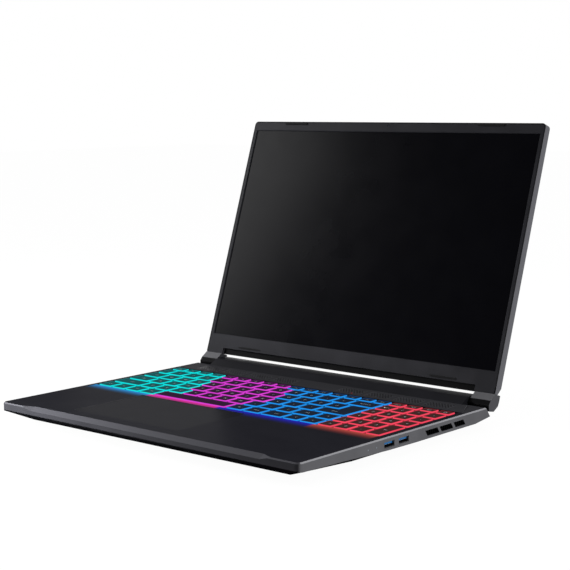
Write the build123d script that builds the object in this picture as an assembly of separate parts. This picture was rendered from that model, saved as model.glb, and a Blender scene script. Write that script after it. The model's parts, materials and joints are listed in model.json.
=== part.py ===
from build123d import *
import os
from math import cos, radians, sin

# A 16-inch laptop computer standing open. Millimetres. X runs to the user's right, Y from the
# front edge to the back, Z up from the table. The finished model is centred at the end.

# Base
width = 360.0               # across both halves
base_depth = 280.0          # front edge to the back of the exhaust housing
deck_z = 19.0               # top of the palm rest
deck_wall = 1.8
side_wall = 2.0
corner_radius = 5.0
edge_chamfer = 1.1
floor_z = 2.4               # underside of the bottom cover
floor_wall = 1.6
seam_gap = 0.2              # between two covers of the same half
seam_z = 12.0               # top of the bottom cover's walls, inside the top case
side_rear_top = base_depth - 23.0       # where the side walls end, at deck height
side_rear_low = base_depth - 16.5       # and at their lower rear corner
lower_edge = [(0, 11.2), (50, 10.0), (112, 7.8), (150, 7.4), (base_depth - 40, 7.4), (base_depth - 26, 9.0)]
lower_edge_rear_z = 10.2
floor_rise = (16.0, 10.4)   # run and top of the slope at the front of the bottom cover
floor_side = (14.5, 7.2)    # the same along its sides
front_corner = (10.8, 68.0)     # height of the floor's edge at the front corners, and how far back it falls
scoop_half = width / 2 - 28     # half length of the thumb scoop in the front edge
scoop_run_out = 13.0
scoop_depth = 6.0
scoop_height = 3.0

# Hinge pins
hinge_y = base_depth - 13.0
hinge_z = deck_z + 0.8
pin_radius = 2.2
pin_clearance = 0.05
knuckle_radius = pin_radius + 1.0

# Raised strip behind the keyboard and the exhaust housing behind it
strip_front = base_depth - 53.4
ridge_y = base_depth - 28.5
ridge_z = deck_z + 1.0
strip_half_front = width / 2 - 5
strip_half_rear = width / 2 - 17
vent_window = (29.0, 14.0)
vent_window_pitch = 33.5
vent_window_first = 27.0
vent_windows_per_side = 4
mesh_thickness = 0.8
housing_half = width / 2 - 23
housing_wall = 1.5
housing_floor = 0.4         # the housing's underside over the bottom cover's
knuckle_cover = 0.7         # from the hinge knuckles to the housing's wall over them
housing_shoulder = (base_depth - 17.5, hinge_z + knuckle_radius + knuckle_cover + housing_wall)
housing_brow = (base_depth - 5.5, housing_shoulder[1] + 0.4)
housing_rear_z = housing_shoulder[1] - 2.4
housing_tail = (5.0, 9.0)   # run and top of the slope at the lower rear edge
louvre_inner = 60.0
louvre_outer = housing_half - 9
louvre_z = (9.5, 20.5)
vane_pitch = 7.2
vane_thickness = 1.2
vane_depth = 3.0
vane_margin = 4.0

# Keyboard
key_pitch = 19.3
row_pitch = 20.0
function_row_depth = 13.5
function_pitch = 17.3
function_keys = 16
numpad_pitch = 17.25
numpad_columns = 4
key_gap = 3.2
key_top = deck_z + 0.2
key_height = 1.2
key_chamfer = 0.25
key_travel = 1.5
first_number_key = 14.5
enter_low_width = 36.8
enter_high_width = 22.2
shift_left_width = 37.6
shift_right_width = 26.0
left_modifiers = [18.7, 19.0, 19.0, 20.3]
right_modifiers = [20.5, 20.9, 26.0]
arrow_widths = [19.0, 20.3]
keyboard_centre_x = -1.3
strip_gap = 0.8             # between the keyboard's recess and the raised strip
recess_margin = 1.0
tray_wall = 0.5
tray_lip = 1.6
guide_thickness = 0.4
guide_clearance = 0.15      # left under a key that is pressed home
zone_gap = 0.6
zone_ends = (4.0, 8.6)      # in key pitches from the left

# Touchpad
pad_width = 130.5
pad_depth = 83.0
pad_centre_x = -35.75
pad_behind = 8.3            # between the touchpad and the first row of keys
pad_gap = 0.35
pad_sunk = 0.2
pad_thickness = 1.3
pad_board = 0.8
pad_travel = 0.4
frame_margin = 6.0
frame_depth = 3.4

# Lid
open_angle = 108.7          # from closed, as it stands
lid_gap = 1.9               # closed, between the bezel and the deck
lid_bottom = 10.2           # hinge axis to the lower edge of the lid
lid_setback = 3.0           # closed, from the base's front edge
lid_thick_low = 9.0
lid_thick_top = 8.2
lid_wall = 1.4
lid_corner = 4.0
lid_chin = (7.0, 4.4)       # height of the bevelled lower edge and its thickness
bezel_thickness = 1.2
bezel_low = 6.1
bezel_fit = 0.1
bezel_bevel = 0.6
window_half = width / 2 - 4.7
window_low = 20.6
window_from_top = 9.9
slot_recess = 2.6
panel_thickness = 2.2
panel_margin = (2.0, 4.0, 3.0)      # at the sides, below and above the window
bumper_size = (29.5, 1.7)
bumper_x = width / 2 - 58.75
bumper_proud = 1.3          # less where the deck below is raised
bumper_pocket = 0.6
bumper_from_ends = (2.4, 2.4)
camera_from_top = 3.9
camera_radius = 1.35

# Hinges
ear_inner = housing_half + 1.3
arm_from_ear = (4.5, 16.5)
arm_clearance = 0.3
knuckle_length = 12.0
knuckle_inset = 2.6
knuckle_foot = 16.0

# Ports: centre along the side, bottom and size of each opening
port_depth = 14.0
port_wall = 0.4
port_clearance = 0.1
port_sunk = 0.3
usb_size = (13.7, 5.1)
usb_z = 10.2
usb_right_y = [base_depth - 166.1, base_depth - 146.2]
usb_left_y = base_depth - 162
usb_tongue_thickness = 1.6
rj45_size = (15.4, 7.8)
rj45_mouth = (11.8, 6.6)
rj45_latch = (6.4, 1.7)
rj45_y = base_depth - 184
rj45_z = 9.1
audio_y = base_depth - 204
audio_z = 12.6
audio_radius = 1.78
audio_wall = 1.2
light_y = (base_depth - 194, base_depth - 183)
light_z = 12.9
light_radius = 0.7
side_slots = [(base_depth - 115.9, base_depth - 98.2), (base_depth - 95.0, base_depth - 77.6),
              (base_depth - 74.1, base_depth - 59.0)]
slot_low = 9.9
slot_high = 14.8
slot_lean = 3.3
fin_pitch = 3.0
rear_port_z = 13.0
rear_openings = [(-34.0, (15.0, 5.6)), (-8.0, (9.0, 3.3)), (12.0, (9.0, 3.3))]     # centre x, size
dc_x = 38.0
dc_size = (11.0, 5.0)

# Inside
board_z = 8.6
board_thickness = 1.2
fan_x = width / 2 - 62
fan_y = base_depth - 83
fan_half = 40.0
fan_height = 7.0
fan_lift = 0.3
fan_wall = 0.8
rotor_radius = 34.0
rotor_gap = 1.5
hub_radius = 11.0
shaft_radius = 1.0
blade_count = 23
fin_stack = 8.0
fin_spacing = 2.03
pipe_height = 1.6
processor = (-31.0, fan_y - 2, 34.0)        # centre and side
graphics = (34.0, fan_y - 5, 32.0)
plate_margin = 2.0
cell = (57.5, 68.0, 6.4)
cell_pitch = 59.0
battery_front = 24.0
speaker = (28.0, 54.0, 7.0)
speaker_from_side = 29.0
speaker_front = 30.0
boss_radius = 2.6
screw_radius = 1.0
screw_head = 1.9
screw_length = 4.0
screw_clearance = 0.15
foot_height = 2.4

half = width / 2
key_bottom = key_top - key_height
guide_top = key_bottom - key_travel - guide_clearance
tray_top = guide_top - guide_thickness
deck_under = deck_z - deck_wall
inner_floor = floor_z + floor_wall
main_width = function_keys * function_pitch
keys_left = keyboard_centre_x - (main_width + numpad_columns * numpad_pitch) / 2
main_right = keys_left + main_width
keys_front = strip_front - strip_gap - recess_margin - function_row_depth - 5 * row_pitch
pad_left = pad_centre_x - pad_width / 2
pad_right = pad_centre_x + pad_width / 2
pad_rear = keys_front - pad_behind
pad_front = pad_rear - pad_depth
lid_height = hinge_y - lid_bottom - lid_setback
window_high = lid_height - window_from_top
hinge_w = deck_z + lid_gap - hinge_z
lean = open_angle - 90
lid_up = (0, sin(radians(lean)), cos(radians(lean)))
lid_out = (0, -cos(radians(lean)), sin(radians(lean)))
lid_origin_y = hinge_y + lid_bottom * lid_up[1] - hinge_w * lid_out[1]
lid_origin_z = hinge_z + lid_bottom * lid_up[2] - hinge_w * lid_out[2]
lid_plane = Plane(origin=(0, lid_origin_y, lid_origin_z), x_dir=(1, 0, 0), z_dir=lid_out)


def block(x0, x1, y0, y1, z0, z1):
    size = (x1 - x0, y1 - y0, z1 - z0)
    centre = ((x0 + x1) / 2, (y0 + y1) / 2, (z0 + z1) / 2)
    return Pos(*centre) * Box(*size)


def prism(points, x0, x1):
    """A (y, z) outline pulled along X."""
    outline = Polyline(*[(x0, y, z) for y, z in points], close=True)
    return extrude(make_face(outline), x1 - x0, dir=(1, 0, 0))


def rod(radius, x0, x1, y, z):
    return Pos((x0 + x1) / 2, y, z) * Rot(0, 90, 0) * Cylinder(radius, x1 - x0)


def mirrored(shape):
    return mirror(shape, Plane.YZ)


def both(shape):
    return [shape, mirrored(shape)]


def cut_away(body, cuts):
    for cut in cuts:
        body -= cut
    return body


def add_all(body, pieces):
    for piece in pieces:
        body += piece
    return body


# ---- base covers ----

def ramp_z(y):
    """Height of the raised strip's top."""
    return deck_z + (ridge_z - deck_z) * (y - strip_front) / (ridge_y - strip_front)


def front_scoop():
    def section(x, size):
        pts = [(x, -1, deck_z + 1), (x, scoop_depth * size, deck_z + 1)]
        pts += [(x, scoop_depth * size, deck_z), (x, 0, deck_z - scoop_height * size)]
        pts += [(x, -1, deck_z - scoop_height * size)]
        return make_face(Polyline(*pts, close=True))

    flat = scoop_half - scoop_run_out
    middle = loft([section(-flat, 1), section(flat, 1)], ruled=True)
    ends = [loft([section(s * flat, 1), section(s * scoop_half, 0.04)], ruled=True) for s in (-1, 1)]
    return [middle] + ends


def slot_outline(y0, y1):
    return [(y0, slot_high), (y1, slot_high), (y1 + slot_lean, slot_low), (y0 + slot_lean, slot_low)]


def vent_windows():
    starts = [vent_window_first + i * vent_window_pitch for i in range(vent_windows_per_side)]
    return starts + [-s - vent_window[0] for s in starts]


def vent_strip_profile(low, high):
    y0 = (strip_front + ridge_y - vent_window[1]) / 2
    y1 = y0 + vent_window[1]
    z0 = ramp_z(y0)
    z1 = ramp_z(y1)
    return [(y0, z0 - low), (y1, z1 - low), (y1, z1 + high), (y0, z0 + high)]


def screw_places():
    """Ten screws: four under the palm rest, four under the board's front edge, two at the back."""
    outer = half - 32
    inner = half - 56
    rows = [(24.0, (outer, inner)), (fan_y - 91, (outer, inner)), (base_depth - 36, (half - 24,))]
    return [(s * x, y) for y, xs in rows for x in xs for s in (-1, 1)]


def raised_strip():
    slope = [(strip_front, deck_z), (ridge_y, ridge_z), (ridge_y, deck_z - 0.5), (strip_front, deck_z - 0.5)]
    ends = Polyline((-strip_half_front, strip_front), (strip_half_front, strip_front),
                    (strip_half_rear, ridge_y), (-strip_half_rear, ridge_y), close=True)
    plan = Pos(0, 0, deck_z - 1) * extrude(make_face(ends), 5)
    return prism(slope, -strip_half_front, strip_half_front) & plan


def port_cuts():
    cuts = []
    reach = 6.0
    g = port_clearance
    for y in usb_right_y:
        cuts.append(block(half - reach, half + 1, y - usb_size[0] / 2 - g, y + usb_size[0] / 2 + g,
                          usb_z - g, usb_z + usb_size[1] + g))
    for y, z, (w, h) in ((usb_left_y, usb_z, usb_size), (rj45_y, rj45_z, rj45_size)):
        cuts.append(block(-half - 1, -half + reach, y - w / 2 - g, y + w / 2 + g, z - g, z + h + g))
    cuts.append(rod(audio_radius + audio_wall + g, -half - 1, -half + reach, audio_y, audio_z))
    for y in light_y:
        cuts.append(rod(light_radius + g, half - reach, half + 1, y, light_z))
    for y0, y1 in side_slots:
        cuts += both(prism(slot_outline(y0, y1), half - reach, half + 1))
    return cuts


def top_case():
    side = lower_edge + [(side_rear_low, lower_edge_rear_z), (side_rear_top, deck_z), (0, deck_z)]
    body = prism(side, -half, half)
    gap = ear_inner - housing_half - 0.8
    above = deck_z + 5
    body -= block(-housing_half - gap, housing_half + gap, ridge_y, base_depth, 0, above)
    body = fillet(body.edges().filter_by(Axis.Z).group_by(Axis.Y)[0], corner_radius)
    rims = body.edges().filter_by(Axis.Y).group_by(Axis.Z)[-1]
    body = chamfer([e for e in rims if abs(abs(e.center().X) - half) < 0.1], edge_chamfer)
    body += raised_strip()
    inner = half - side_wall
    body -= block(-inner, inner, scoop_depth, ridge_y - housing_wall, 0, deck_under)
    body -= block(-inner, inner, side_wall, scoop_depth + 1, 0, seam_z + 1)
    wing = block(housing_half + 2, inner, ridge_y - 5, side_rear_top - 2.5, 0, deck_under)
    body = cut_away(body, both(wing) + front_scoop())
    x0, x1, y0, y1 = recess()
    body -= block(x0, x1, y0, y1, 0, above)
    body -= block(pad_left - pad_gap, pad_right + pad_gap, pad_front - pad_gap, pad_rear + pad_gap, 0, above)
    body = cut_away(body, [prism(vent_strip_profile(5, 2), x, x + vent_window[0]) for x in vent_windows()])
    body = cut_away(body, port_cuts())
    boss_height = deck_under - inner_floor
    boss = Cylinder(boss_radius, boss_height)
    hole_depth = screw_length + 2.1
    hole = Cylinder(screw_radius + pin_clearance, hole_depth)
    for x, y in screw_places():
        body += Pos(x, y, inner_floor + boss_height / 2) * boss
        body -= Pos(x, y, inner_floor + hole_depth / 2 - 0.05) * hole
    return body


def tray_solid(inset):
    """Filled shape of the bottom cover, moved inwards by the wall."""
    low = floor_z + inset
    y0 = side_wall + seam_gap + inset
    y1 = ridge_y - housing_wall - seam_gap - inset
    side = [(y0, seam_z), (y0, floor_rise[1]), (y0 + floor_rise[0], low), (y1, low), (y1, seam_z)]
    x1 = half - side_wall - seam_gap - inset
    front = [(x1, seam_z), (x1, floor_side[1]), (x1 - floor_side[0], low)]
    points = [(x, 0, z) for x, z in front] + [(-x, 0, z) for x, z in reversed(front)]
    sheet = make_face(Polyline(*points, close=True))
    body = prism(side, -half, half) & extrude(sheet, base_depth, dir=(0, 1, 0))
    return cut_away(body, both(corner_wedge(inset)))


def corner_wedge(inset):
    """What a front corner of the bottom cover loses: its floor rises towards the corner."""
    x1 = half - side_wall
    slope = (floor_side[1] - floor_z) / floor_side[0]
    sections = []
    for y, z in ((0, front_corner[0]), (front_corner[1], floor_side[1])):
        z += inset
        run = (z - floor_z + 1) / slope
        points = [(x1, y, z), (x1 - run, y, floor_z - 1), (x1, y, floor_z - 1)]
        sections.append(make_face(Polyline(*points, close=True)))
    return loft(sections, ruled=True)


def intake_slots():
    """Slots under each fan, grouped in three rows."""
    slot_size = (15.0, 3.0)
    spacing = 7.0
    cuts = []
    for row in (-20, 0, 20):
        for i in range(-4, 5):
            slot = extrude(SlotOverall(*slot_size, rotation=90), 8, both=True)
            cuts += both(Pos(fan_x + i * spacing, fan_y + row, floor_z) * slot)
    return cuts


def bottom_cover():
    above = seam_z + 9
    body = tray_solid(0) - tray_solid(floor_wall) - block(-half, half, 0, base_depth, seam_z - 0.05, above)
    wing_x = (housing_half + 2.2, half - side_wall - seam_gap - 3)
    body = add_all(body, both(block(*wing_x, ridge_y - 2, side_rear_top - 3, 6.4, 8.0)))
    cuts = intake_slots()
    reach = half - 12
    for y0, y1 in side_slots:
        cuts += both(block(reach, half, y0 - 1, y1 + slot_lean + 1, slot_low - 1, above))
    for y in usb_right_y:
        cuts.append(block(reach, half, y - usb_size[0] / 2 - 1, y + usb_size[0] / 2 + 1, usb_z - 1, above))
    cuts.append(block(-half, -reach, audio_y - 6, usb_left_y + usb_size[0] / 2 + 1, rj45_z - 1, above))
    for x, y in screw_places():
        cuts.append(Pos(x, y, floor_z) * Cylinder(screw_radius + screw_clearance, 6))
        cuts.append(Pos(x, y, floor_z) * Cylinder(screw_head + screw_clearance, 1.6))
    return cut_away(body, cuts)


def bottom_screws():
    head_height = 0.8
    screws = []
    for x, y in screw_places():
        head = Pos(x, y, floor_z + head_height / 2) * Cylinder(screw_head, head_height)
        head -= Pos(x, y, floor_z) * extrude(RegularPolygon(0.9, 6), 0.5)
        shank = Pos(x, y, floor_z + head_height + screw_length / 2) * Cylinder(screw_radius, screw_length)
        screws.append(head + shank)
    return screws


def rubber_feet():
    low = floor_z - foot_height
    feet = [Pos(s * (half - 60), 30, low) * extrude(SlotOverall(44, 7), foot_height) for s in (-1, 1)]
    feet.append(Pos(0, base_depth - 44, low) * extrude(SlotOverall(width - 110, 8), foot_height))
    return [chamfer(f.faces().sort_by(Axis.Z)[0].edges(), 0.5) for f in feet]


# ---- exhaust ----

def exhaust_profile(inset):
    run, tail_z = housing_tail
    y0 = ridge_y + seam_gap
    y1 = base_depth - inset
    low = floor_z + housing_floor + inset
    top = [(y0, ridge_z - inset), (housing_shoulder[0], housing_shoulder[1] - inset)]
    top += [(housing_brow[0] - inset / 2, housing_brow[1] - inset), (y1, housing_rear_z - inset)]
    return top + [(y1, tail_z), (y1 - run, low), (y0, low)]


def exhaust_housing():
    room = housing_half - 2
    body = prism(exhaust_profile(0), -housing_half, housing_half)
    body -= prism(exhaust_profile(housing_wall), -room, room)
    body -= block(-room, room, ridge_y - 1, ridge_y + 3, floor_z + 2.5, ridge_z - 2.2)
    y0 = base_depth - 5
    y1 = base_depth + 1
    body = cut_away(body, both(block(louvre_inner, louvre_outer, y0 + 1, y1, *louvre_z)))
    body = cut_away(body, both(rod(pin_radius + 0.5, housing_half - 4, housing_half + 4, hinge_y, hinge_z)))
    g = port_clearance
    for x, (w, h) in rear_openings:
        body -= block(x - w / 2 - g, x + w / 2 + g, y0, y1, rear_port_z - g, rear_port_z + h + g)
    w, h = dc_size
    return body - block(dc_x - w / 2 - 1, dc_x + w / 2 + 1, y0, y1, rear_port_z - 1, rear_port_z + h + 1)


def exhaust_louvres():
    """Vanes standing in the two rear openings, between an upper and a lower rail."""
    low, high = louvre_z
    back = base_depth - 0.4
    front = back - vane_depth
    rail = 1.2
    pack = block(louvre_inner, louvre_outer, front - 1.6, front, low, low + rail)
    pack += block(louvre_inner, louvre_outer, front - 1.6, front, high - rail, high)
    count = 1 + int((louvre_outer - louvre_inner - 2 * vane_margin) / vane_pitch)
    for i in range(count):
        x = louvre_inner + vane_margin + i * vane_pitch
        pack += block(x, x + vane_thickness, front, back, low, high)
    return both(pack)


def deck_vent_mesh():
    return [prism(vent_strip_profile(mesh_thickness, 0), x, x + vent_window[0]) for x in vent_windows()]


def side_vent_grilles():
    """One dark plate with fins behind the three slots of each side."""
    y0 = side_slots[0][0] - 2
    y1 = side_slots[-1][1] + slot_lean + 2
    x1 = half - side_wall
    z = (slot_low - 0.5, slot_high + 0.5)
    plate = block(x1 - 3.2, x1 - 2.4, y0, y1, *z)
    for i in range(int((y1 - y0) / fin_pitch)):
        y = y0 + 1 + i * fin_pitch
        plate += block(x1 - 2.5, x1 - 0.6, y, y + 0.8, *z)
    return both(plate)


# ---- keyboard ----

def recess():
    x1 = main_right + numpad_columns * numpad_pitch
    y1 = keys_front + 5 * row_pitch + function_row_depth
    m = recess_margin
    return keys_left - m, x1 + m, keys_front - m, y1 + m


def key(x0, x1, y0, y1):
    g = key_gap / 2
    cap = block(x0 + g, x1 - g, y0 + g, y1 - g, key_bottom, key_top)
    return chamfer(cap.edges().group_by(Axis.Z)[-1], key_chamfer)


def row_keys(row, widths, x=keys_left):
    y0 = keys_front + row * row_pitch
    y1 = y0 + (function_row_depth if row == 5 else row_pitch)
    caps = []
    for w in widths:
        caps.append(key(x, x + w, y0, y1))
        x += w
    return caps


def enter_key(x1):
    g = key_gap / 2
    y0 = keys_front + 2 * row_pitch + g
    cap = block(x1 - enter_low_width + g, x1 - g, y0, y0 + row_pitch - key_gap, key_bottom, key_top)
    cap += block(x1 - enter_high_width + g, x1 - g, y0, y0 + 2 * row_pitch - key_gap, key_bottom, key_top)
    return chamfer(cap.edges().group_by(Axis.Z)[-1], key_chamfer)


def number_pad():
    """Rows from the front: the first starts one column in, after the right arrow key."""
    pads = []
    for row in range(6):
        first = 1 if row == 0 else 0
        last = numpad_columns - 1 if row < 2 else numpad_columns
        x = main_right + first * numpad_pitch
        pads += row_keys(row, [numpad_pitch] * (last - first), x)
    return pads


def keyboard():
    p = key_pitch
    number = row_keys(4, [first_number_key] + [p] * 12 + [main_width - first_number_key - 12 * p])
    upper = row_keys(3, [main_width - enter_high_width - 12 * p] + [p] * 12)
    home = row_keys(2, [main_width - enter_low_width - 11 * p] + [p] * 11)
    up_arrow = main_width - shift_left_width - 10 * p - shift_right_width
    lower = row_keys(1, [shift_left_width] + [p] * 10 + [shift_right_width, up_arrow])
    others = left_modifiers + right_modifiers + arrow_widths
    space = [main_width - sum(others)]
    bottom = row_keys(0, left_modifiers + space + right_modifiers + arrow_widths + [numpad_pitch])
    pads = number_pad()
    x = main_right + (numpad_columns - 1) * numpad_pitch
    return {
        "keys_function": row_keys(5, [function_pitch] * function_keys),
        "keys_number_row": number[:-1],
        "key_backspace": number[-1],
        "key_tab": upper[0],
        "keys_upper_letters": upper[1:],
        "key_caps_lock": home[0],
        "keys_home_letters": home[1:],
        "key_enter": enter_key(main_right),
        "key_shift_left": lower[0],
        "keys_lower_letters": lower[1:11],
        "key_shift_right": lower[11],
        "keys_modifiers": bottom[0:4] + bottom[5:8],
        "key_space": bottom[4],
        "keys_arrows": [lower[12]] + bottom[8:11],
        "keys_numpad": pads[:-1],
        "key_numpad_enter": key(x, x + numpad_pitch, keys_front, keys_front + 2 * row_pitch),
        "key_power": pads[-1],
    }


def keyboard_tray():
    x0, x1, y0, y1 = recess()
    m = tray_lip
    outer = block(x0 - m, x1 + m, y0 - m, y1 + m, tray_top - tray_wall, deck_under)
    g = seam_gap
    return outer - block(x0 - g, x1 + g, y0 - g, y1 + g, tray_top, deck_z)


def backlight_zones():
    """Four light guides side by side on the tray."""
    x0, x1, y0, y1 = recess()
    bounds = [x0, keys_left + zone_ends[0] * key_pitch, keys_left + zone_ends[1] * key_pitch, main_right, x1]
    zones = {}
    for name, a, b in zip(["left", "centre", "right", "numpad"], bounds, bounds[1:]):
        guide = block(a + zone_gap / 2, b - zone_gap / 2, y0 + seam_gap, y1 - seam_gap, tray_top, guide_top)
        zones["backlight_" + name] = guide
    return zones


def touchpad():
    top = deck_z - pad_sunk
    plate = block(pad_left, pad_right, pad_front, pad_rear, top - pad_thickness, top)
    plate = fillet(plate.edges().filter_by(Axis.Z), 1.2)
    m = 4.0
    return plate + block(pad_left + m, pad_right - m, pad_front + m, pad_rear - m,
                         top - pad_thickness - pad_board, top - pad_thickness)


def touchpad_frame():
    """Steel frame screwed under the palm rest, which the touchpad hinges and clicks on."""
    m = frame_margin
    low = deck_under - frame_depth
    outer = block(pad_left - m, pad_right + m, pad_front - m, pad_rear + m - 2, low, deck_under)
    shelf = deck_z - pad_sunk - pad_thickness - pad_board - pad_travel - 0.3
    inner = block(pad_left - 1, pad_right + 1, pad_front - 1, pad_rear + 1, shelf, deck_z)
    m = 12.0
    return outer - inner - block(pad_left + m, pad_right - m, pad_front + m, pad_rear - m, 0, deck_z)


# ---- inside the base ----

def square_on_board(place, margin, z0, z1):
    x, y, side = place
    r = side / 2 + margin
    return block(x - r, x + r, y - r, y + r, z0, z1)


def mainboard():
    z0 = board_z
    z1 = board_z + board_thickness
    inner_x = fan_x - fan_half - 3
    board = block(-half + 16, half - 18, fan_y - 97, fan_y - 45, z0, z1)
    board += block(-inner_x, inner_x, fan_y - 47, fan_y + fan_half - 1, z0, z1)
    board += square_on_board(processor, 0, z1, z1 + 1.0) + square_on_board(graphics, 0, z1, z1 + 1.0)
    chip = 11.0
    for x in (-44, -28, -12, 20, 36):
        board += block(x, x + chip, fan_y + 17, fan_y + 18 + chip, z1, z1 + 0.8)
    return cut_away(board, [Pos(x, y, z0) * Cylinder(boss_radius + 0.6, 6) for x, y in screw_places()])


def memory_modules():
    """Two modules side by side under the board, each with its socket."""
    z0 = board_z - 3.6
    y0 = fan_y - 88
    modules = []
    for y in (y0, y0 + 18):
        modules.append(block(-34, 34, y + 3, y + 18, z0, z0 + 1.2) + block(-36, 36, y, y + 4, z0, board_z))
    return modules


def ssd():
    y0 = fan_y - 87
    drive = block(80, 102, y0, y0 + 38, board_z - 2.2, board_z - 0.9)
    return drive + block(80, 102, y0 + 36, y0 + 40, board_z - 2.2, board_z)


def fan_housings():
    z0 = inner_floor + fan_lift
    z1 = z0 + fan_height
    middle = z0 + fan_height / 2
    body = block(fan_x - fan_half, fan_x + fan_half, fan_y - fan_half, fan_y + fan_half, z0, z1)
    body -= Pos(fan_x, fan_y, middle) * Cylinder(rotor_radius + rotor_gap, fan_height - 2 * fan_wall)
    body -= Pos(fan_x, fan_y, z0) * Cylinder(rotor_radius - 8, 2)
    room = (z0 + fan_wall, z1 - fan_wall)
    body -= block(fan_x - 30, fan_x + 30, fan_y, fan_y + fan_half + 1, *room)
    body -= block(fan_x, fan_x + fan_half + 1, fan_y - 28, fan_y + 28, *room)
    body += Pos(fan_x, fan_y, z1 - 1.4) * Cylinder(6, 1.2)
    body += Pos(fan_x, fan_y, z0 + 3.2) * Cylinder(shaft_radius, fan_height - 3.0)
    return both(body)


def fan_rotor():
    """Hub and swept blades on the housing's shaft."""
    low = inner_floor + fan_lift + 1.4
    high = inner_floor + fan_lift + fan_height - 2.4
    height = high - low
    rotor = Cylinder(hub_radius, height) - Cylinder(shaft_radius + pin_clearance, 20)
    blade = Pos(rotor_radius * 0.6, 0, 0) * Rot(0, 0, 24) * Box(rotor_radius * 0.82, 0.7, height)
    for i in range(blade_count):
        rotor += Rot(0, 0, i * 360 / blade_count) * blade
    return Pos(fan_x, fan_y, (low + high) / 2) * rotor


def heat_sinks():
    """Fin stacks behind and beside each fan, with their base strips."""
    z0 = inner_floor + 0.5
    z1 = z0 + fan_height - 0.4
    x0 = fan_x - 30
    y0 = fan_y + fan_half + 1
    y1 = y0 + fin_stack - 1
    rear = block(x0, fan_x + 30, y0, y1, z1 - 0.8, z1)
    for i in range(30):
        x = x0 + i * fin_spacing
        rear += block(x, x + 0.5, y0, y1, z0, z1)
    y0 = fan_y - 28
    x0 = fan_x + fan_half + 1
    x1 = x0 + fin_stack
    side_low = floor_side[1] + floor_wall - 1.4
    side = block(x0, x1, y0, fan_y + 28.5, z1 - 0.8, z1)
    for i in range(28):
        y = y0 + i * fin_spacing
        side += block(x0, x1, y, y + 0.5, side_low, z1)
    return both(rear) + both(side)


def heat_pipes():
    """Flattened copper pipes from the two processors to the rear fin stacks."""
    z0 = inner_floor + fan_height + 0.3
    z1 = z0 + pipe_height
    span = fan_x + 28
    rear = fan_y + fan_half + 4.5
    bar = block(-span, span, rear - 3, rear + 3, z0, z1)
    body = fillet(bar.edges().filter_by(Axis.Z), 2.9)
    for chip in (processor, graphics):
        x, y, side = chip
        body += square_on_board(chip, plate_margin, z0, z1)
        body += block(x - 4, x + 4, y + side / 2, rear, z0, z1)
    return body


def battery_pack():
    z0 = inner_floor + 0.2
    x0 = -2 * cell_pitch
    w, d, h = cell
    y1 = battery_front + d
    pack = block(x0 - 2, -x0, y1, y1 + 4, z0, z0 + 4)
    pack += block(x0 - 2, -x0, battery_front - 3.5, battery_front, z0 + 0.5, z0 + 4)
    for i in range(4):
        x = x0 + i * cell_pitch
        one = block(x, x + w, battery_front, y1, z0, z0 + h)
        pack += fillet(one.edges().filter_by(Axis.X), 1.5)
    return pack


def speakers():
    z0 = inner_floor + 0.2
    w, d, h = speaker
    x1 = half - speaker_from_side
    case = block(x1 - w, x1, speaker_front, speaker_front + d, z0, z0 + h)
    case = fillet(case.edges().filter_by(Axis.Z), 3)
    return both(case + Pos(x1 - w / 2, speaker_front + 22, z0 + h + 0.3) * Cylinder(11, 0.8))


def hinge_brackets():
    """Steel knuckles inside the ends of the exhaust housing, on feet that reach the floor."""
    x1 = housing_half - knuckle_inset
    x0 = x1 - knuckle_length
    floor = floor_z + housing_floor + housing_wall
    knuckle = rod(knuckle_radius, x0, x1, hinge_y, hinge_z)
    knuckle += block(x0, x1, hinge_y - 3, hinge_y + 3, floor, hinge_z - 1)
    knuckle += block(x0 - knuckle_foot, x1, ridge_y + 3, hinge_y + 6, floor, floor + 2.0)
    knuckle -= rod(pin_radius + pin_clearance, x0 - 1, x1 + 1, hinge_y, hinge_z)
    return both(knuckle)


# ---- ports ----

def usb_shell(y):
    """A USB-A receptacle shell with its mouth at the right side wall."""
    w, h = usb_size
    x0 = half - port_depth
    t = port_wall
    shell = block(x0, half - port_sunk, y - w / 2, y + w / 2, usb_z, usb_z + h)
    return shell - block(x0 + 1, half + 1, y - w / 2 + t, y + w / 2 - t, usb_z + t, usb_z + h - t)


def usb_tongue(y):
    w, h = usb_size
    z1 = usb_z + h - port_wall - 0.5
    x0 = half - port_depth + 1
    return block(x0, half - 1.6, y - w / 2 + 1.2, y + w / 2 - 1.2, z1 - usb_tongue_thickness, z1)


def ethernet_jack():
    w, h = rj45_size
    mouth_w, mouth_h = rj45_mouth
    latch_w, latch_h = rj45_latch
    deep = -half + 13
    body = block(-half + port_sunk, -half + 15, rj45_y - w / 2, rj45_y + w / 2, rj45_z, rj45_z + h)
    z0 = rj45_z + 0.8
    body -= block(-half - 1, deep, rj45_y - mouth_w / 2, rj45_y + mouth_w / 2, z0, z0 + mouth_h)
    z0 = rj45_z + 0.3
    body -= block(-half - 1, deep, rj45_y - latch_w / 2, rj45_y + latch_w / 2, z0, z0 + latch_h)
    for i in range(8):
        y = rj45_y - 3.7 + i
        body += block(-half + 5, deep + 0.2, y, y + 0.4, rj45_z + 6.9, rj45_z + 7.5)
    return body


def audio_jack():
    body = rod(audio_radius + audio_wall, -half + port_sunk, -half + port_depth, audio_y, audio_z)
    return body - rod(audio_radius, -half - 1, -half + port_depth - 1, audio_y, audio_z)


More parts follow.
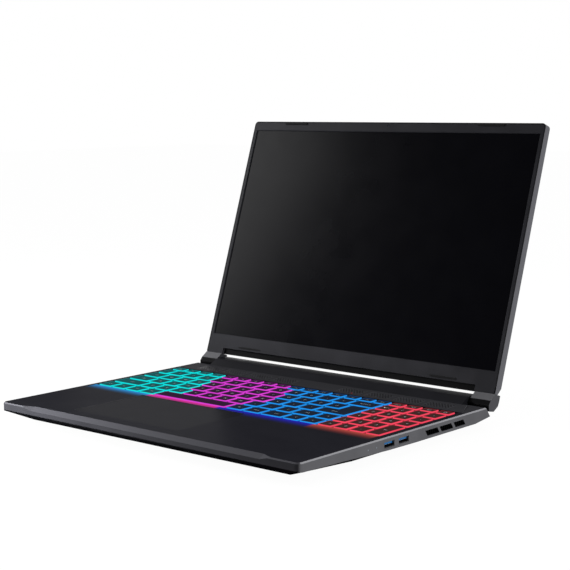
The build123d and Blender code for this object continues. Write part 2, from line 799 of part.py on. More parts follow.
def rear_receptacles():
    """Metal shells with a tongue across the middle of each."""
    y0 = base_depth - 10
    z0 = rear_port_z
    t = port_wall
    shells = []
    for x, (w, h) in rear_openings:
        shell = block(x - w / 2, x + w / 2, y0, base_depth - port_sunk, z0, z0 + h)
        shell -= block(x - w / 2 + t, x + w / 2 - t, y0 + 1, base_depth + 1, z0 + t, z0 + h - t)
        tongue_z = (z0 + h / 2 - 0.35, z0 + h / 2 + 0.35)
        shell += block(x - w / 2 + 1.6, x + w / 2 - 1.6, y0 + 0.5, base_depth - 2, *tongue_z)
        shells.append(shell)
    return shells


def dc_inlet():
    w, h = dc_size
    z0 = rear_port_z
    body = block(dc_x - w / 2, dc_x + w / 2, base_depth - 12, base_depth - port_sunk, z0, z0 + h)
    r = w / 2 - 0.8
    body -= block(dc_x - r, dc_x + r, base_depth - 10, base_depth + 1, z0 + 0.6, z0 + h - 0.6)
    return body + block(dc_x - 3.4, dc_x + 3.4, base_depth - 11, base_depth - 2, z0 + 2.1, z0 + 2.9)


def status_lights():
    """Two light pipes in the right side wall."""
    return [rod(light_radius, half - side_wall, half - 0.05, y, light_z) for y in light_y]


# ---- lid, drawn flat with the screen up: x across, y from its lower edge, z out of the screen ----

def back_z(v):
    return -lid_thick_low + (lid_thick_low - lid_thick_top) * v / lid_height


def lid_back_cover():
    chin, chin_depth = lid_chin
    outline = [(0, -bezel_thickness), (0, -chin_depth), (chin, back_z(chin))]
    outline += [(lid_height, back_z(lid_height)), (lid_height, 0), (0.6, 0)]
    body = prism(outline, -half, half)
    body = fillet(body.edges().filter_by(Axis.Z).group_by(Axis.Y)[-1], lid_corner)
    body = chamfer([e for e in body.faces().sort_by(Axis.Z)[0].edges() if e.center().Y > chin + 1], 0.5)
    inner = half - lid_wall
    top = lid_height - lid_wall
    w = lid_wall
    low = chin - 0.5
    room = [(low, 1), (low, back_z(low) + 3), (low + 1.5, back_z(low + 1.5) + w)]
    room = prism(room + [(top, back_z(top) + w), (top, 1)], -inner, inner)
    body -= fillet(room.edges().filter_by(Axis.Z).group_by(Axis.Y)[-1], lid_corner - lid_wall)
    gap = ear_inner - housing_half - 0.8
    body -= block(-housing_half - gap, housing_half + gap, -1, chin, -slot_recess, 1)
    body -= block(-inner, inner, -1, chin, -bezel_thickness, 1)
    for s in (-1, 1):
        x0, x1 = arm_span(s)
        body -= block(x0 - arm_clearance, x1 + arm_clearance, -1, chin + 2, back_z(0) + 2, 1)
    return body


def arm_span(side):
    x0 = ear_inner + arm_from_ear[0]
    x1 = ear_inner + arm_from_ear[1]
    return (x0, x1) if side > 0 else (-x1, -x0)


def bumper_places():
    """Each bumper's centre, and how far it stands out over what it meets when the lid is closed."""
    low = bezel_low + bumper_from_ends[0]
    high = lid_height - bumper_from_ends[1]
    rise = ramp_z(hinge_y - lid_bottom - low + bumper_size[1] / 2) - deck_z
    rows = [(low, bumper_proud - rise), (high, bumper_proud)]
    return [(s * bumper_x, v, proud) for s in (-1, 1) for v, proud in rows]


def screen_bezel():
    inner = half - lid_wall - bezel_fit
    top = lid_height - lid_wall - bezel_fit
    plate = block(-inner, inner, 0.1, top, -bezel_thickness, 0)
    plate = fillet(plate.edges().filter_by(Axis.Z).group_by(Axis.Y)[-1], lid_corner - lid_wall)
    gap = ear_inner - housing_half - 0.8
    plate -= block(-housing_half - gap, housing_half + gap, -1, bezel_low, -5, 5)
    plate -= block(-window_half, window_half, window_low, window_high, -5, 5)
    near = [e for e in plate.edges().group_by(Axis.Z)[-1] if abs(e.center().X) < window_half + 0.01]
    rim = [e for e in near if window_low - 0.01 < e.center().Y < window_high + 0.01]
    plate = chamfer(rim, bezel_bevel)
    g = pin_clearance
    w, h = bumper_size
    for x, v, _ in bumper_places():
        plate -= block(x - w / 2 - g, x + w / 2 + g, v - h / 2 - g, v + h / 2 + g, -bumper_pocket, 1)
    return plate - Pos(0, lid_height - camera_from_top, 0) * Cylinder(camera_radius + 0.1, 5)


def bumper_pads():
    w, h = bumper_size
    pads = []
    for x, v, proud in bumper_places():
        pad = block(x - w / 2, x + w / 2, v - h / 2, v + h / 2, -bumper_pocket, proud)
        pads.append(fillet(pad.edges().group_by(Axis.Z)[-1], min(0.4, proud / 2)))
    return pads


def display_panel():
    side, below, above = panel_margin
    front = -bezel_thickness
    return block(-window_half - side, window_half + side, window_low - below, window_high + above,
                 front - panel_thickness, front)


def camera_module():
    v = lid_height - camera_from_top
    board = block(-14, 14, v - 2.2, v + 1.9, -bezel_thickness - 2.2, -bezel_thickness)
    return board + Pos(0, v, -bezel_thickness / 2 - 0.2) * Cylinder(camera_radius, bezel_thickness)


def display_driver_board():
    top = window_low - panel_margin[1] - 1
    return block(-90, 90, lid_chin[0] + 1.6, top, -bezel_thickness - 1.2, -bezel_thickness - 0.2)


def hinge_cover():
    """Right ear below the lid's corner: shelf in front, barrel round the hinge, back in line with the lid."""
    back = -lid_thick_low
    outline = [(0, -0.1), (-6.8, 5.1), (-11.3, 6.8), (-16.7, 4.4), (-15.6, -3.1), (-9.8, -8.4), (-5.6, back)]
    outline += [(-0.1, back), (-0.1, -0.2)]
    body = prism(outline, ear_inner, half)
    body = fillet([e for e in body.edges().filter_by(Axis.X) if e.center().Y < -9], 1.5)
    x0, x1 = arm_span(1)
    hub = pin_radius + 1.0
    neck = -lid_bottom + hub + 0.4
    body -= block(x0 - arm_clearance, x1 + arm_clearance, -lid_bottom - hub - 0.4, neck, -5.6, hinge_w + hub)
    body -= block(x0 - arm_clearance, x1 + arm_clearance, neck - 0.1, 1, -5.6, -3.2)
    return body - rod(pin_radius + pin_clearance, ear_inner - 1, x1, -lid_bottom, hinge_w)


def hinge_arm():
    """Steel arm in the ear and lid, with the pin that turns in the base's knuckle."""
    x0, x1 = arm_span(1)
    v = -lid_bottom
    hub = pin_radius + 1.0
    low = -5.2
    pin = rod(pin_radius, housing_half - knuckle_inset - knuckle_length - 1, x0 + 2, v, hinge_w)
    plate = block(x0, x1, v - hub, v + hub, low, hinge_w + hub - 0.4)
    return pin + plate + block(x0, x1, v, 14, low, low + 1.6)


def as_list(shape):
    return list(shape) if isinstance(shape, (list, tuple)) else [shape]


def base_nodes():
    nodes = {
        "top_case": top_case(),
        "bottom_cover": bottom_cover(),
        "exhaust_housing": exhaust_housing(),
        "exhaust_louvres": exhaust_louvres(),
        "deck_vent_mesh": deck_vent_mesh(),
        "side_vent_grilles": side_vent_grilles(),
        "keyboard_tray": keyboard_tray(),
        "touchpad": touchpad(),
        "touchpad_frame": touchpad_frame(),
        "mainboard": mainboard(),
        "memory_modules": memory_modules(),
        "ssd": ssd(),
        "fan_housings": fan_housings(),
        "fan_rotor_right": fan_rotor(),
        "fan_rotor_left": mirrored(fan_rotor()),
        "heat_sinks": heat_sinks(),
        "heat_pipes": heat_pipes(),
        "battery_pack": battery_pack(),
        "speakers": speakers(),
        "hinge_brackets": hinge_brackets(),
        "usb_a_ports": [usb_shell(y) for y in usb_right_y] + [mirrored(usb_shell(usb_left_y))],
        "usb_a_tongues": [usb_tongue(y) for y in usb_right_y] + [mirrored(usb_tongue(usb_left_y))],
        "ethernet_jack": ethernet_jack(),
        "audio_jack": audio_jack(),
        "rear_receptacles": rear_receptacles(),
        "dc_inlet": dc_inlet(),
        "status_lights": status_lights(),
        "rubber_feet": rubber_feet(),
        "bottom_screws": bottom_screws(),
    }
    nodes.update(backlight_zones())
    nodes.update(keyboard())
    return nodes


def lid_nodes():
    flat = {
        "lid_back_cover": lid_back_cover(),
        "screen_bezel": screen_bezel(),
        "display_panel": display_panel(),
        "display_driver_board": display_driver_board(),
        "camera_module": camera_module(),
        "bumper_pads": bumper_pads(),
        "hinge_cover_right": hinge_cover(),
        "hinge_cover_left": mirrored(hinge_cover()),
        "hinge_arm_right": hinge_arm(),
        "hinge_arm_left": mirrored(hinge_arm()),
    }
    return {name: [lid_plane.location * piece for piece in as_list(shape)] for name, shape in flat.items()}


def main():
    os.makedirs("parts", exist_ok=True)
    nodes = {name: as_list(shape) for name, shape in (base_nodes() | lid_nodes()).items()}
    boxes = [piece.bounding_box() for pieces in nodes.values() for piece in pieces]
    middle_x = (min(b.min.X for b in boxes) + max(b.max.X for b in boxes)) / 2
    middle_y = (min(b.min.Y for b in boxes) + max(b.max.Y for b in boxes)) / 2
    lowest = min(b.min.Z for b in boxes)
    shift = Location((-middle_x, -middle_y, -lowest))
    print("moved by", shift.position)
    for name, pieces in nodes.items():
        solids = [solid.moved(shift) for piece in pieces for solid in piece.solids()]
        export_step(Compound(solids) if len(solids) > 1 else solids[0], f"parts/{name}.step")


main()
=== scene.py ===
import json
import math

import bmesh
import bpy
from mathutils import Matrix, Vector


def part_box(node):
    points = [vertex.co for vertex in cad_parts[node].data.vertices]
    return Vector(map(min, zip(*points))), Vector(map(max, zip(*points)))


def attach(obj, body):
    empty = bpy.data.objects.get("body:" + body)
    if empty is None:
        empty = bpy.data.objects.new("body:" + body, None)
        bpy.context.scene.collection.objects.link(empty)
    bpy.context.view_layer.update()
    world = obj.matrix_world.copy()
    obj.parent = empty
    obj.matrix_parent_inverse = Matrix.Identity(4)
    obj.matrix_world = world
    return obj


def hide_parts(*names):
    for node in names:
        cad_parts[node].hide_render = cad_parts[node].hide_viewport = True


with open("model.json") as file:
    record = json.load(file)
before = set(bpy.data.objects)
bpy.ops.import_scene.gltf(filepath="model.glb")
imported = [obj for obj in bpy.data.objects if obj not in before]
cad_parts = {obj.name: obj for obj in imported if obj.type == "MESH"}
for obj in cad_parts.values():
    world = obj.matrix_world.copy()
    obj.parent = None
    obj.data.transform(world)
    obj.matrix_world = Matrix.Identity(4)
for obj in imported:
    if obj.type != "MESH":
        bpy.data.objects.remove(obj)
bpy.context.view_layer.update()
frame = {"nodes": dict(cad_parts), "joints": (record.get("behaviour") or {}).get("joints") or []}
nodes = frame["nodes"]
mm = 0.001
lidHinge = next(j for j in frame["joints"] if j["name"] == "lid_hinge")
openAngle = math.radians(-lidHinge["range_deg"][0])
screenOut = Vector((0, -math.sin(openAngle), -math.cos(openAngle)))
print("frame loaded:", len(nodes), "nodes")


def linear(value):
    return value / 12.92 if value <= 0.04045 else ((value + 0.055) / 1.055) ** 2.4


def shade(red, green, blue):
    return (linear(red / 255), linear(green / 255), linear(blue / 255), 1.0)


deepShadow = shade(2, 2, 3)


def newMaterial(name):
    material = bpy.data.materials.new(name)
    material.use_nodes = True
    tree = material.node_tree
    return material, tree, tree.nodes["Principled BSDF"]


def addObject(name, data):
    thing = bpy.data.objects.new(name, data)
    bpy.context.scene.collection.objects.link(thing)
    return thing


def link(tree, start, end):
    tree.links.new(start, end)


def calc(tree, operation, *values):
    node = tree.nodes.new("ShaderNodeMath")
    node.operation = operation
    for socket, value in zip(node.inputs, values):
        if isinstance(value, (int, float)):
            socket.default_value = value
        else:
            link(tree, value, socket)
    return node.outputs[0]


def objectCoords(tree):
    return tree.nodes.new("ShaderNodeTexCoord").outputs["Object"]


def noise(tree, scale, detail=4.0, coords=None, stretch=(1, 1, 1)):
    mapping = tree.nodes.new("ShaderNodeMapping")
    mapping.inputs["Scale"].default_value = stretch
    texture = tree.nodes.new("ShaderNodeTexNoise")
    texture.inputs["Scale"].default_value = scale
    texture.inputs["Detail"].default_value = detail
    link(tree, coords or objectCoords(tree), mapping.inputs["Vector"])
    link(tree, mapping.outputs["Vector"], texture.inputs["Vector"])
    return texture.outputs["Fac"]


def ramp(tree, value, low, high, dark, light):
    node = tree.nodes.new("ShaderNodeMapRange")
    node.inputs["From Min"].default_value = low
    node.inputs["From Max"].default_value = high
    node.inputs["To Min"].default_value = dark
    node.inputs["To Max"].default_value = light
    link(tree, value, node.inputs["Value"])
    return node.outputs["Result"]


def mixColour(tree, factor, first, second):
    node = tree.nodes.new("ShaderNodeMix")
    node.data_type = "RGBA"
    link(tree, factor, node.inputs["Factor"])
    for socket, value in ((node.inputs["A"], first), (node.inputs["B"], second)):
        if isinstance(value, tuple):
            socket.default_value = value
        else:
            link(tree, value, socket)
    return node.outputs["Result"]


def addBump(tree, shader, height, strength, distance):
    bump = tree.nodes.new("ShaderNodeBump")
    bump.inputs["Strength"].default_value = strength
    bump.inputs["Distance"].default_value = distance
    link(tree, height, bump.inputs["Height"])
    link(tree, bump.outputs["Normal"], shader.inputs["Normal"])


def addGrain(tree, shader, coords, strength):
    addBump(tree, shader, noise(tree, 2400.0, 2.0, coords), strength, 0.02 * mm)


def moulded(name, look):
    # moulded or painted surface: cloudy colour, uneven gloss, fine grain
    material, tree, shader = newMaterial(name)
    coords = objectCoords(tree)
    cloud = noise(tree, look.get("cloudScale", 35.0), 3.0, coords)
    base = look["colour"]
    lift = look.get("lift", 1.25)
    brighter = (min(base[0] * lift, 1), min(base[1] * lift, 1), min(base[2] * lift, 1), 1.0)
    patches = ramp(tree, cloud, 0.35, 0.65, 0.0, 1.0)
    link(tree, mixColour(tree, patches, base, brighter), shader.inputs["Base Color"])
    rough = look["roughness"]
    spread = look.get("spread", 0.05)
    grain = noise(tree, look.get("grainScale", 2600.0), 2.0, coords)
    link(tree, ramp(tree, cloud, 0.3, 0.7, rough - spread, rough + spread), shader.inputs["Roughness"])
    shader.inputs["Specular IOR Level"].default_value = look.get("specular", 0.3)
    shader.inputs["Coat Weight"].default_value = look.get("gloss", 0.0)
    shader.inputs["Coat Roughness"].default_value = rough
    if look.get("grain", 0.0):
        addBump(tree, shader, grain, look["grain"], 0.02 * mm)
    return material


def caseFinish(name, look):
    # near-black deck and lighter raised strip; painted light and shade by facing: lighter walls, painted highlights
    # on the bevel and the front scoop, a darker front with a painted shadow band along its lower edge; a painted glow
    # of key light in front of the keys
    material, tree, shader = newMaterial(name)
    place = tree.nodes.new("ShaderNodeTexCoord")
    facing = tree.nodes.new("ShaderNodeSeparateXYZ")
    link(tree, place.outputs["Normal"], facing.inputs["Vector"])
    at = tree.nodes.new("ShaderNodeSeparateXYZ")
    link(tree, place.outputs["Object"], at.inputs["Vector"])
    coords = place.outputs["Object"]
    cloud = ramp(tree, noise(tree, 28.0, 3.0, coords), 0.3, 0.7, 0.0, 1.0)
    # painted light and shade: walls, front, bevel, scoop and top are one material, coloured lighter or darker by
    # which way each face turns
    wall = mixColour(tree, cloud, look["wall"], look["wallLight"])
    front = mixColour(tree, cloud, look["front"], look["frontLight"])
    # painted shadow: the front turns near black along its lower edge
    shadowBand = ramp(tree, at.outputs["Z"], *look["shadowEdge"], 0.0, 1.0)
    front = mixColour(tree, shadowBand, deepShadow, front)
    turned = ramp(tree, facing.outputs["Y"], -0.8, -0.5, 1.0, 0.0)
    wall = mixColour(tree, turned, wall, front)
    # painted highlights: lighter bevel on upward-turned chamfers, lighter scoop on the front slope
    bevelHighlight = ramp(tree, facing.outputs["Z"], 0.4, 0.5, 0.0, 1.0)
    slope = mixColour(tree, ramp(tree, facing.outputs["Y"], -0.4, -0.3, 1.0, 0.0), look["bevelHighlight"], look["scoop"])
    side = mixColour(tree, bevelHighlight, wall, slope)
    top = mixColour(tree, cloud, look["top"], look["topLight"])
    behind = ramp(tree, at.outputs["Y"], look["stripFrom"], look["stripFrom"] + 0.3 * mm, 0.0, 1.0)
    top = mixColour(tree, behind, top, look["strip"])
    up = ramp(tree, facing.outputs["Z"], 0.985, 0.995, 0.0, 1.0)
    link(tree, mixColour(tree, up, side, top), shader.inputs["Base Color"])
    link(tree, ramp(tree, up, 0.0, 1.0, look["wallRough"], look["topRough"]), shader.inputs["Roughness"])
    shader.inputs["Specular IOR Level"].default_value = look["specular"]
    shader.inputs["Coat Weight"].default_value = look["gloss"]
    shader.inputs["Coat Roughness"].default_value = look["topRough"]
    addGrain(tree, shader, coords, look["grain"])
    # painted glow: key light on the deck in front of the first row, coloured by zone
    near = ramp(tree, at.outputs["Y"], look["spillFrom"] - look["spillReach"], look["spillFrom"], 0.0, 1.0)
    within = ramp(tree, at.outputs["X"], look["spillEnds"][0], look["spillEnds"][0] + 2 * mm, 0.0, 1.0)
    beyond = ramp(tree, at.outputs["X"], look["spillEnds"][1] - 2 * mm, look["spillEnds"][1], 1.0, 0.0)
    cutOff = ramp(tree, at.outputs["Y"], look["spillFrom"] + 1 * mm, look["spillFrom"] + 1.1 * mm,
                  look["spillPower"], 0.0)
    power = near
    for other in (near, within, beyond, up, cutOff):  # near counts twice, so the glow fades by the square
        power = calc(tree, "MULTIPLY", power, other)
    span = ramp(tree, at.outputs["X"], look["spillEnds"][0], look["spillEnds"][1], 0.0, 1.0)
    colours = tree.nodes.new("ShaderNodeValToRGB")
    link(tree, span, colours.inputs["Fac"])
    stops = colours.color_ramp.elements
    while len(stops) > 1:
        stops.remove(stops[-1])
    stops[0].position = 0.0
    stops[0].color = look["spill"][0]
    length = look["spillEnds"][1] - look["spillEnds"][0]
    for i, edge in enumerate(look["spillParts"]):
        for shift, colour in ((-1.5 * mm, look["spill"][i]), (1.5 * mm, look["spill"][i + 1])):
            stop = stops.new((edge + shift - look["spillEnds"][0]) / length)
            stop.color = colour
    link(tree, colours.outputs["Color"], shader.inputs["Emission Color"])
    link(tree, power, shader.inputs["Emission Strength"])
    return material


def lidFinish(name, look):
    # grey outside, black where the shell shows round the screen, with painted shadow (near black) in the hollow along
    # its lower edge
    material, tree, shader = newMaterial(name)
    place = tree.nodes.new("ShaderNodeTexCoord")
    outward = tree.nodes.new("ShaderNodeVectorMath")
    outward.operation = "DOT_PRODUCT"
    outward.inputs[1].default_value = screenOut
    link(tree, place.outputs["Normal"], outward.inputs[0])
    cloud = ramp(tree, noise(tree, 30.0, 3.0, place.outputs["Object"]), 0.3, 0.7, 0.0, 1.0)
    back = mixColour(tree, cloud, look["back"], look["backLight"])
    inside = ramp(tree, outward.outputs["Value"], 0.5, 0.8, 0.0, 1.0)
    high = tree.nodes.new("ShaderNodeSeparateXYZ")
    link(tree, place.outputs["Object"], high.inputs["Vector"])
    # painted shadow in the hollow below the screen
    hollowShade = ramp(tree, high.outputs["Z"], look["hollowShadeBelow"], look["hollowShadeBelow"] + 1 * mm, 0.0, 1.0)
    front = mixColour(tree, hollowShade, deepShadow, look["front"])
    link(tree, mixColour(tree, inside, back, front), shader.inputs["Base Color"])
    link(tree, ramp(tree, cloud, 0.0, 1.0, look["roughness"] - 0.04, look["roughness"] + 0.04),
         shader.inputs["Roughness"])
    shader.inputs["Specular IOR Level"].default_value = look["specular"]
    addGrain(tree, shader, place.outputs["Object"], look["grain"])
    return material


def earFinish(name, look):
    # painted light and shade by facing: painted highlight (light grey) on top, grey at the ends, painted shade
    # (black) where it faces forward
    material, tree, shader = newMaterial(name)
    place = tree.nodes.new("ShaderNodeTexCoord")
    facing = tree.nodes.new("ShaderNodeSeparateXYZ")
    link(tree, place.outputs["Normal"], facing.inputs["Vector"])
    cloud = ramp(tree, noise(tree, 40.0, 3.0, place.outputs["Object"]), 0.3, 0.7, 0.0, 0.12)
    end = mixColour(tree, cloud, look["end"], look["top"])
    # painted shade on forward faces, painted highlight on top faces
    forward = ramp(tree, facing.outputs["Y"], -0.5, -0.25, 1.0, 0.0)
    upward = ramp(tree, facing.outputs["Z"], 0.7, 0.9, 0.0, 1.0)
    body = mixColour(tree, forward, end, look["front"])
    link(tree, mixColour(tree, upward, body, look["top"]), shader.inputs["Base Color"])
    shader.inputs["Roughness"].default_value = look["roughness"]
    shader.inputs["Specular IOR Level"].default_value = look["specular"]
    addGrain(tree, shader, place.outputs["Object"], look["grain"])
    return material


def glowing(name, look):
    # glowing plastic, for the lights, light guides and legends and for the painted backlight glow on the keycaps: the
    # colour is even, the strength clouds a little
    material, tree, shader = newMaterial(name)
    cloud = noise(tree, look.get("cloudScale", 60.0), 2.0)
    shader.inputs["Base Color"].default_value = look.get("body", (0.01, 0.01, 0.01, 1.0))
    shader.inputs["Specular IOR Level"].default_value = look.get("specular", 0.0)
    shader.inputs["Roughness"].default_value = 0.4
    shader.inputs["Emission Color"].default_value = look["colour"]
    power = look["power"]
    link(tree, ramp(tree, cloud, 0.3, 0.7, power * 0.88, power * 1.12), shader.inputs["Emission Strength"])
    return material


def metal(name, look):
    # metal with fine lines along one direction
    material, tree, shader = newMaterial(name)
    lines = noise(tree, look.get("lineScale", 900.0), 3.0, None, look.get("stretch", (0.03, 1, 1)))
    shader.inputs["Base Color"].default_value = look["colour"]
    shader.inputs["Metallic"].default_value = 1.0
    rough = look["roughness"]
    link(tree, ramp(tree, lines, 0.3, 0.7, rough * 0.8, rough * 1.25), shader.inputs["Roughness"])
    addBump(tree, shader, lines, 0.15, 0.01 * mm)
    return material


# edge, halo and cap colours: painted glow of the key backlight on the keycaps
zoneLook = {
    "cyan": {"edge": shade(0, 226, 224), "halo": shade(0, 142, 144), "cap": shade(6, 82, 84)},
    "magenta": {"edge": shade(220, 62, 214), "halo": shade(120, 26, 118), "cap": shade(42, 10, 44)},
    "blue": {"edge": shade(26, 146, 236), "halo": shade(14, 76, 142), "cap": shade(10, 26, 46)},
    "red": {"edge": shade(246, 70, 94), "halo": shade(150, 44, 56), "cap": shade(58, 28, 26)},
}

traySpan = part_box("keyboard_tray")
backlights = ["backlight_left", "backlight_centre", "backlight_right", "backlight_numpad"]
# top, wall, front, bevel and scoop: one material painted lighter or darker by facing; shadowEdge: painted shadow
# band; spill: painted glow of key light
caseLook = {
    "top": shade(30, 30, 35), "topLight": shade(34, 34, 39), "strip": shade(50, 50, 53),
    "wall": shade(78, 78, 81), "wallLight": shade(86, 86, 89), "bevelHighlight": shade(138, 138, 142),
    "scoop": shade(62, 62, 66), "front": shade(31, 31, 34), "frontLight": shade(36, 36, 39),
    "topRough": 0.28, "wallRough": 0.45, "specular": 0.0, "gloss": 0.02, "grain": 0.12,
    "shadowEdge": (11.9 * mm, 12.5 * mm), "stripFrom": traySpan[1][1] - 0.8 * mm,
    "spillFrom": traySpan[0][1] + 2.6 * mm, "spillReach": 18.0 * mm, "spillPower": 2.0,
    "spillEnds": (traySpan[0][0] + 1.6 * mm, traySpan[1][0] - 1.6 * mm),
    "spillParts": [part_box(name)[1][0] for name in backlights[:3]],
    "spill": [shade(0, 110, 170), shade(180, 20, 125), shade(6, 6, 140), shade(140, 50, 40)],
}

finishes = {
    "case": caseFinish("caseGrey", caseLook),
    "ear": earFinish("earGrey", {"top": shade(100, 100, 103), "end": shade(62, 62, 65), "front": shade(11, 11, 12),
                                 "roughness": 0.45, "specular": 0.02, "grain": 0.12}),
    "lidBack": lidFinish("lidGrey", {
        "back": shade(82, 82, 86), "backLight": shade(85, 85, 89), "front": shade(20, 20, 22), "roughness": 0.4,
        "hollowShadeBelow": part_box("display_panel")[0][2] - 9.5 * mm, "specular": 0.03, "grain": 0.12}),
    # near-black underside: dark plastic, made darker still and unreflective as painted shade where the underside lies
    # in shadow
    "underside": moulded("undersideBlackAndShade", {"colour": shade(5, 5, 6), "roughness": 0.6, "specular": 0.0,
                                            "grain": 0.4, "grainScale": 1500.0}),
    "housing": moulded("housingBlack", {"colour": shade(24, 24, 27), "roughness": 0.4, "specular": 0.02,
                                        "grain": 0.15}),
    "mesh": moulded("meshGrey", {"colour": shade(54, 54, 57), "roughness": 0.45, "specular": 0.01, "grain": 0.1}),
    "grille": moulded("grilleBlack", {"colour": shade(6, 6, 7), "roughness": 0.6, "specular": 0.02, "grain": 0.2}),
    "tray": moulded("trayBlack", {"colour": shade(8, 8, 9), "roughness": 0.6, "specular": 0.05, "grain": 0.2}),
    "bezel": moulded("bezelBlack", {"colour": shade(26, 26, 29), "roughness": 0.38, "specular": 0.045, "grain": 0.35,
                                    "grainScale": 1800.0}),
    "screen": moulded("screenBlack", {"colour": shade(3, 3, 5), "lift": 1.1, "roughness": 0.2, "spread": 0.02,
                                      "specular": 0.03, "grain": 0.05, "grainScale": 4000.0}),
    "touchpad": moulded("touchpadSatin", {"colour": shade(29, 29, 33), "lift": 1.1, "roughness": 0.24, "spread": 0.01,
                                          "specular": 0.0, "gloss": 0.025, "grain": 0.05}),
    "board": moulded("boardGreen", {"colour": (0.01, 0.05, 0.03, 1), "roughness": 0.4, "cloudScale": 300.0,
                                    "lift": 2.0, "grain": 0.2}),
    "fan": moulded("fanBlack", {"colour": shade(20, 20, 22), "roughness": 0.45, "grain": 0.1}),
    "battery": moulded("batteryWrap", {"colour": shade(18, 18, 22), "roughness": 0.3, "grain": 0.1}),
    "rubber": moulded("rubberBlack", {"colour": shade(12, 12, 13), "roughness": 0.8, "specular": 0.1, "grain": 0.6,
                                      "grainScale": 1200.0}),
    "portBlack": moulded("portBlack", {"colour": shade(8, 8, 9), "roughness": 0.5, "specular": 0.1, "grain": 0.1}),
    "portBlue": moulded("portBlue", {"colour": shade(26, 84, 132), "lift": 1.15, "roughness": 0.35, "specular": 0.1,
                                     "grain": 0.1}),
    "shell": metal("socketShell", {"colour": (0.1, 0.1, 0.105, 1), "roughness": 0.4}),
    "lens": moulded("lensGlass", {"colour": shade(16, 18, 30), "roughness": 0.08, "spread": 0.02, "specular": 0.5}),
    "steel": metal("brightSteel", {"colour": (0.55, 0.56, 0.58, 1), "roughness": 0.28}),
    "fins": metal("finAluminium", {"colour": (0.7, 0.7, 0.72, 1), "roughness": 0.35, "stretch": (1, 1, 0.05)}),
    "copper": metal("pipeCopper", {"colour": (0.72, 0.35, 0.2, 1), "roughness": 0.3}),
    "gold": metal("contactGold", {"colour": (0.9, 0.65, 0.25, 1), "roughness": 0.25}),
    "lightPipe": glowing("lightPipe", {"colour": shade(190, 200, 210), "power": 0.35}),
    "ledWhite": glowing("ledWhite", {"colour": shade(255, 245, 250), "power": 1.0}),
    "ledRed": glowing("ledRed", {"colour": shade(200, 30, 40), "power": 0.8}),
    "legend": glowing("legendWhite", {"colour": shade(215, 222, 225), "power": 0.55}),
}
# edge, halo and cap: painted glow of the backlight on the keycaps; guide: the glowing light guides under the keys
for zoneName, zone in zoneLook.items():
    finishes["edge" + zoneName] = glowing("edge" + zoneName.title(), {"colour": zone["edge"], "power": 1.0})
    finishes["guide" + zoneName] = glowing("guide" + zoneName.title(), {"colour": zone["edge"], "power": 0.35})
    finishes["halo" + zoneName] = glowing("halo" + zoneName.title(), {"colour": zone["halo"], "power": 1.0})
    finishes["cap" + zoneName] = glowing("cap" + zoneName.title(), {"colour": zone["cap"], "power": 1.0})
print("finishes made:", len(finishes))

nodeFinish = {
    "top_case": "case", "lid_back_cover": "lidBack", "hinge_cover_left": "ear", "hinge_cover_right": "ear",
    "bottom_cover": "underside", "exhaust_housing": "housing", "exhaust_louvres": "grille",
    "side_vent_grilles": "grille", "fan_housings": "grille", "touchpad_frame": "grille", "keyboard_tray": "tray",
    "deck_vent_mesh": "mesh", "screen_bezel": "bezel", "camera_module": "portBlack", "display_panel": "screen",
    "touchpad": "touchpad", "backlight_left": "guidecyan", "backlight_centre": "guidemagenta",
    "backlight_right": "guideblue", "backlight_numpad": "guidered", "mainboard": "board",
    "memory_modules": "board", "ssd": "board", "display_driver_board": "board", "fan_rotor_left": "fan",
    "fan_rotor_right": "fan", "heat_sinks": "fins", "heat_pipes": "copper", "battery_pack": "battery",
    "speakers": "fan", "hinge_brackets": "steel", "hinge_arm_left": "steel", "hinge_arm_right": "steel",
    "usb_a_ports": "shell", "rear_receptacles": "steel", "bottom_screws": "steel", "usb_a_tongues": "portBlue",
    "ethernet_jack": "portBlack", "audio_jack": "portBlack", "dc_inlet": "portBlack",
    "status_lights": "lightPipe", "rubber_feet": "rubber", "bumper_pads": "rubber",
}
for nodeName, finishName in nodeFinish.items():
    cadMesh = nodes[nodeName].data
    cadMesh.materials.clear()
    cadMesh.materials.append(finishes[finishName])


def newPiece(name, mesh, body, standsFor=()):
    piece = addObject(name, mesh)
    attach(piece, body)
    if standsFor:
        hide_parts(*standsFor)
    return piece


def islandBoxes(nodeName):
    # lowest and highest corner of every separate solid in a CAD node
    work = bmesh.new()
    work.from_mesh(nodes[nodeName].data)
    bmesh.ops.remove_doubles(work, verts=work.verts, dist=1e-6)
    left = set(work.verts)
    boxes = []
    while left:
        stack = [left.pop()]
        island = list(stack)
        while stack:
            for edge in stack.pop().link_edges:
                for vert in edge.verts:
                    if vert in left:
                        left.remove(vert)
                        stack.append(vert)
                        island.append(vert)
        low = Vector([min(v.co[i] for v in island) for i in range(3)])
        high = Vector([max(v.co[i] for v in island) for i in range(3)])
        boxes.append((low, high))
    work.free()
    return sorted(boxes, key=lambda b: (round(b[0].y, 4), round(b[0].x, 4)))


def roundCorner(cx, cy, radius, start, steps=4):
    turns = [math.radians(start + 90 * i / steps) for i in range(steps + 1)]
    return [(cx + radius * math.cos(a), cy + radius * math.sin(a)) for a in turns]


def roundedOutline(x0, x1, y0, y1, radius):
    points = []
    for cx, cy, start in ((x1 - radius, y1 - radius, 0), (x0 + radius, y1 - radius, 90),
                          (x0 + radius, y0 + radius, 180), (x1 - radius, y0 + radius, 270)):
        points += roundCorner(cx, cy, radius, start)
    return points


def addLoop(work, points, z):
    return [work.verts.new((x, y, z)) for x, y in points]


def bridge(work, lower, upper, slotIndex):
    count = len(lower)
    for i in range(count):
        face = work.faces.new((lower[i], lower[(i + 1) % count], upper[(i + 1) % count], upper[i]))
        face.material_index = slotIndex
        face.smooth = True


